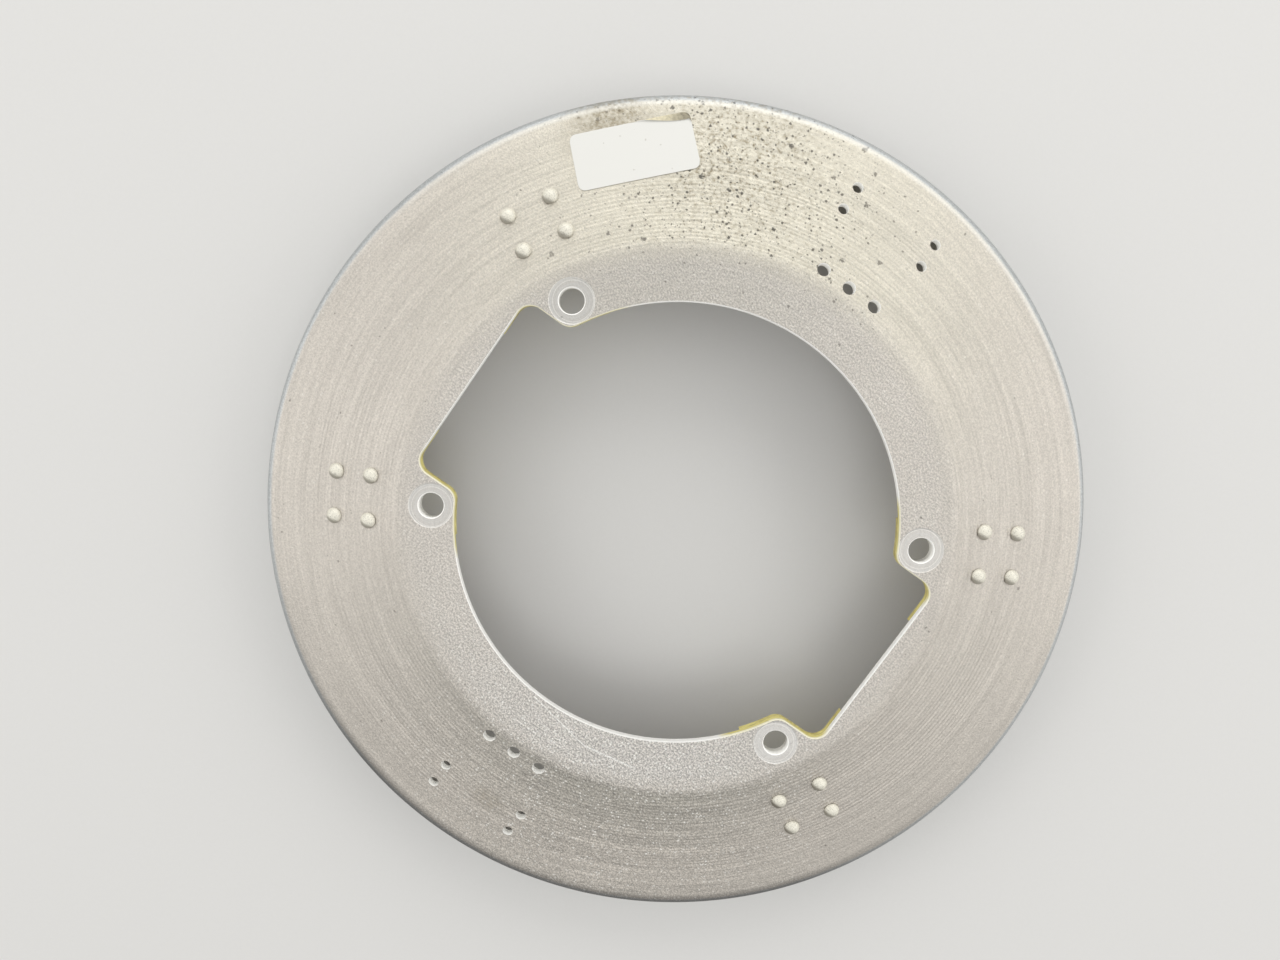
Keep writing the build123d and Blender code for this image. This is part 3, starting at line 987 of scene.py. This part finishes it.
def plated_steel():
    """Stamped steel with a yellow passivated plating. The eye sees a thin golden film that turns
    darker and greener in patches."""
    colours = settings("colours")
    material, add, shader = new_finish("steel, yellow plated")
    place = place_nodes(add)
    film = add("TexNoise", Vector=place["point"], Scale=1 / 3.5, Detail=3.0)
    patch = add("MapRange", film, 0.4, 0.65)
    tone = laid_over(add, colours.nut, (patch, colours.nut_shade))
    fill(shader, {"Base Color": tone, "Metallic": 1.0, "Roughness": 0.38})
    return material


def label_film():
    """Printed-label film of white polyester, cast smooth. The eye sees an even satin white with
    stray grey specks of dirt."""
    colours = settings("colours")
    material, add, shader = new_finish("polyester film, white")
    place = place_nodes(add)
    dirt = specks(add, ragged(add, place, 0.5, 0.6), 3.2, 0.5, 0.4)
    share = add("Math", dirt, 0.4, operation="MULTIPLY")
    tone = laid_over(add, colours.film, (share, colours.grime))
    fill(shader, {"Base Color": tone, "Roughness": 0.42})
    return material


def label_glue():
    """Underside of the film with its acrylic adhesive, cast and aged. The eye sees a matt, dirty
    cream, with painted shadow darkening it at the lifted corner."""
    colours = settings("colours")
    material, add, shader = new_finish("acrylic adhesive, aged")
    place = place_nodes(add)
    dirt = add("TexNoise", Vector=place["point"], Scale=1 / 1.2, Detail=4.0)
    dirt = add("MapRange", dirt, 0.45, 0.7, 0.0, 0.3)
    # Painted shadow under the lifted corner, added to the real dirt in one share
    corner = aged_and_painted_light_spot(add, place, "lifted_corner_shadow")
    share = add("Math", corner, 0.75, dirt, operation="MULTIPLY_ADD", use_clamp=True)
    tone = laid_over(add, colours.glue, (share, colours.painted_shade))
    fill(shader, {"Base Color": tone, "Roughness": 0.7})
    return material


def floor_card():
    """Matt card, pressed smooth. The eye sees a plain pale ground. Its fibres, too fine to show,
    are drawn at 1.5 mm."""
    colours = settings("colours")
    material, add, shader = new_finish("matt card, pale")
    place = place_nodes(add)
    fibre = add("TexNoise", Vector=place["point"], Scale=1 / 1.5, Detail=3.0)
    faint = add("MapRange", fibre, 0.0, 1.0, 0.0, 0.04)
    tone = laid_over(add, colours.floor, (faint, colours.grime))
    fill(shader, {"Base Color": tone, "Roughness": 0.9})
    return material


# Operators

class BULKHEAD_OT_dish(bpy.types.Operator):
    """Build the spun dish with its ridges, cut-out, holes and turned-down rim"""

    bl_idname = "bulkhead.dish"
    bl_label = "Spun dish"

    def execute(self, context):
        mesh = smooth(cut(dish_blank(), dish_cutters()))
        new_piece("spun_dish", mesh, [spun_aluminium()], ["bulkhead_shell"])
        return {"FINISHED"}


def rivet_profile(rivets, sheets):
    """Radius and height down one side of a lug rivet, from the top of its head."""
    rise = rivets.head_height - rivets.head_edge
    ball = (rivets.head_radius**2 + rise**2) / (2 * rise)
    dimple, sink = rivets.dimple_radius, rivets.dimple_depth
    crown = []
    steps = 12
    for i in range(steps + 1):
        radius = rivets.head_radius * i / steps
        cup = sink * (1 - fade(radius, 0, dimple))
        crown.append((radius, rivets.head_height - ball + math.sqrt(ball**2 - radius**2) - cup))
    crown.insert(1, (dimple / 2, crown[0][1] + sink * 0.45))
    under = -sheets - rivets.seat_gap
    barrel = []
    for share in (0, 0.25, 0.5, 0.75, 1):
        bulge = rivets.shop_bulge * math.sin(math.pi * share)
        barrel.append((rivets.shop_radius + bulge, under - rivets.shop_height * share))
    foot = [(rivets.head_radius, 0), (rivets.shank, 0), (rivets.shank, under)]
    return crown[1:] + foot + barrel


class BULKHEAD_OT_lug_rivets(bpy.types.Operator):
    """Build the four driven rivets of each lug"""

    bl_idname = "bulkhead.lug_rivets"
    bl_label = "Lug rivets"

    def execute(self, context):
        rivets = settings("rivets")
        profile = rivet_profile(rivets, 2 * settings("dish").sheet)
        material = rivet_aluminium()
        for number, quarter in enumerate(QUARTERS, 1):
            shape = bmesh.new()
            for seat in lug_rivet_seats(quarter):
                lofted(shape, turned_loops(profile, RIVET_SIDES, seat))
            mesh = smooth(mesh_of("driven_rivets", shape), 50)
            name = f"driven_rivets_{number}"
            new_piece(name, mesh, [material], [f"lug_rivets_{number}"])
        return {"FINISHED"}


class BULKHEAD_OT_doublers(bpy.types.Operator):
    """Give the lug doublers their primer"""

    bl_idname = "bulkhead.doublers"
    bl_label = "Lug doublers"

    def execute(self, context):
        material = chromate_primer()
        for number in range(1, len(QUARTERS) + 1):
            dress(frame["nodes"][f"lug_doubler_{number}"], material)
        return {"FINISHED"}


def dress(node, material):
    """Give a frame node its finish in place of what it came with."""
    node.data.materials.clear()
    node.data.materials.append(material)


class BULKHEAD_OT_nuts(bpy.types.Operator):
    """Give the anchor nuts and their flush rivets their finishes"""

    bl_idname = "bulkhead.nuts"
    bl_label = "Anchor nuts"

    def execute(self, context):
        steel = plated_steel()
        rivet = bpy.data.materials["rivet aluminium, driven"]
        for number in range(1, len(SCREWS) + 1):
            dress(frame["nodes"][f"anchor_nut_{number:02d}"], steel)
            dress(frame["nodes"][f"anchor_nut_rivets_{number:02d}"], rivet)
        return {"FINISHED"}


def label_point(u, v, lift):
    """A point over the cone from a place on the flat label, in its own length and width."""
    label = settings("label")
    slope = settings("dish").cone_slope
    turn = Matrix.Rotation(label.turn, 2)
    spot = Vector((label.centre_x, label.centre_y)) + turn @ Vector((u, v * math.cos(slope)))
    return on_cone(spot.x, spot.y, lift).translation


def peel_width(u):
    """How wide the lifted strip is at a place along the label's outer edge."""
    label = settings("label")
    place = u / label.size_along + 0.5
    near_end = 0.95
    taper = 1 - 0.3 * fade(place, near_end, 1.0)
    return label.peel_width * fade(place, label.peel_start, near_end) * taper


def label_mesh():
    """The label as a thin closed film, its outer edge peeled up and folded back."""
    label = settings("label")
    columns, rows = 96, 128
    half_u, half_v = label.size_along / 2, label.size_across / 2
    shape = bmesh.new()
    grids = {}
    for side in (0, 1):
        for i in range(columns + 1):
            u = -half_u + 2 * half_u * i / columns
            inset = max(abs(u) - (half_u - label.corner), 0)
            limit = half_v - label.corner + math.sqrt(max(label.corner**2 - inset**2, 0))
            for j in range(rows + 1):
                point = peeled(u, j / rows, limit, side * label.film)
                grids[side, i, j] = shape.verts.new(point)
    for i in range(columns):
        for j in range(rows):
            under = [grids[0, i + a, j + b] for a, b in ((0, 0), (0, 1), (1, 1), (1, 0))]
            over = [grids[1, i + a, j + b] for a, b in ((0, 0), (1, 0), (1, 1), (0, 1))]
            shape.faces.new(under).material_index = 1
            shape.faces.new(over)
    sides = [((i, j), (i + 1, j)) for j in (0, rows) for i in range(columns)]
    sides += [((i, j), (i, j + 1)) for i in (0, columns) for j in range(rows)]
    for near, far in sides:
        shape.faces.new([grids[0, *near], grids[0, *far], grids[1, *far], grids[1, *near]])
    return mesh_of("label", shape)


def peeled(u, share, limit, lift):
    """A point of the film at a share of its width, which starts and ends at a limit from the middle
    line. The lifted strip is rolled up and back, with its fold on the label's outline."""
    label = settings("label")
    width = peel_width(u)
    bend = label.peel_bend
    tuck = min(bend, width)
    fold = limit - tuck
    v = -limit + share * (2 * limit - tuck + width)
    past = v - fold
    if past <= 0:
        return label_point(u, v, lift)
    turn = min(past / bend, label.peel_turn)
    rest = past - turn * bend
    reach = (bend - lift) * math.sin(turn) + rest * math.cos(turn)
    height = bend - (bend - lift) * math.cos(turn) + rest * math.sin(turn)
    return label_point(u, fold + reach, height)


class BULKHEAD_OT_label(bpy.types.Operator):
    """Build the blank data label with its lifted edge"""

    bl_idname = "bulkhead.label"
    bl_label = "Data label"

    def execute(self, context):
        mesh = smooth(label_mesh(), 40)
        new_piece("label_film", mesh, [label_film(), label_glue()], ["data_label"])
        return {"FINISHED"}


class BULKHEAD_OT_stage(bpy.types.Operator):
    """Set up the floor, the lamps and the camera"""

    bl_idname = "bulkhead.stage"
    bl_label = "Floor, lamps and camera"

    def execute(self, context):
        stage = settings("stage")
        scene = context.scene
        scene.view_settings.view_transform = "Standard"
        floor = bpy.data.objects.new("floor", bpy.data.meshes.new("floor"))
        corners = [(x * FLOOR_HALF, y * FLOOR_HALF, LOW.z) for x, y in QUARTERS]
        floor.data.from_pydata(corners, [], [(0, 1, 2, 3)])
        floor.data.materials.append(floor_card())
        scene.collection.objects.link(floor)

        world = bpy.data.worlds.new("even light")
        world.use_nodes = True
        world.node_tree.nodes["Background"].inputs["Color"].default_value = (1, 1, 1, 1)
        world.node_tree.nodes["Background"].inputs["Strength"].default_value = stage.world
        scene.world = world

        turned = Matrix.Rotation(stage.turn, 4, "Z")
        for name, (place, size) in LAMPS.items():
            add_lamp(name + "_lamp", turned @ Vector(place), size, getattr(stage, name + "_power"))

        camera = bpy.data.objects.new("camera", bpy.data.cameras.new("camera"))
        camera.data.sensor_width = 36.0
        camera.data.lens = stage.lens
        tip = Matrix.Rotation(stage.tip, 4, "X")
        sway = Matrix.Rotation(stage.sway, 4, "Y")
        offset = Matrix.Translation((stage.offset_x, stage.offset_y, stage.distance))
        camera.matrix_world = turned @ sway @ tip @ offset
        scene.collection.objects.link(camera)
        scene.camera = camera
        return {"FINISHED"}


def add_lamp(name, place, size, power):
    """A large soft lamp that faces the part, its size given across and up."""
    lamp = bpy.data.objects.new(name, bpy.data.lights.new(name, "AREA"))
    lamp.data.shape = "RECTANGLE"
    lamp.data.size, lamp.data.size_y = size
    lamp.data.energy = power
    lamp.location = place
    lamp.rotation_euler = place.to_track_quat("Z", "Y").to_euler()
    bpy.context.scene.collection.objects.link(lamp)


OPERATORS = (
    BULKHEAD_OT_stage,
    BULKHEAD_OT_dish,
    BULKHEAD_OT_lug_rivets,
    BULKHEAD_OT_doublers,
    BULKHEAD_OT_nuts,
    BULKHEAD_OT_label,
)


class BULKHEAD_PT_panel(bpy.types.Panel):
    """Lists the pieces of the bulkhead and their sizes"""

    bl_label = "Spinner bulkhead"
    bl_space_type = "VIEW_3D"
    bl_region_type = "UI"
    bl_category = "Bulkhead"

    def draw(self, context):
        for operator in OPERATORS:
            self.layout.operator(operator.bl_idname)
        for name, group in GROUPS.items():
            box = self.layout.box()
            box.label(text=name.capitalize())
            for field in group.__annotations__:
                box.prop(settings(name), field)


CLASSES = (*GROUPS.values(), *OPERATORS, BULKHEAD_PT_panel)


def register():
    for kind in CLASSES:
        bpy.utils.register_class(kind)
    for name, group in GROUPS.items():
        setattr(bpy.types.Scene, "bulkhead_" + name, PointerProperty(type=group))


def unregister():
    for name in GROUPS:
        delattr(bpy.types.Scene, "bulkhead_" + name)
    for kind in reversed(CLASSES):
        bpy.utils.unregister_class(kind)


def main():
    """Register the add-on and build every piece."""
    register()
    for operator in OPERATORS:
        group, name = operator.bl_idname.split(".")
        getattr(getattr(bpy.ops, group), name)()


if __name__ == "__main__":
    main()
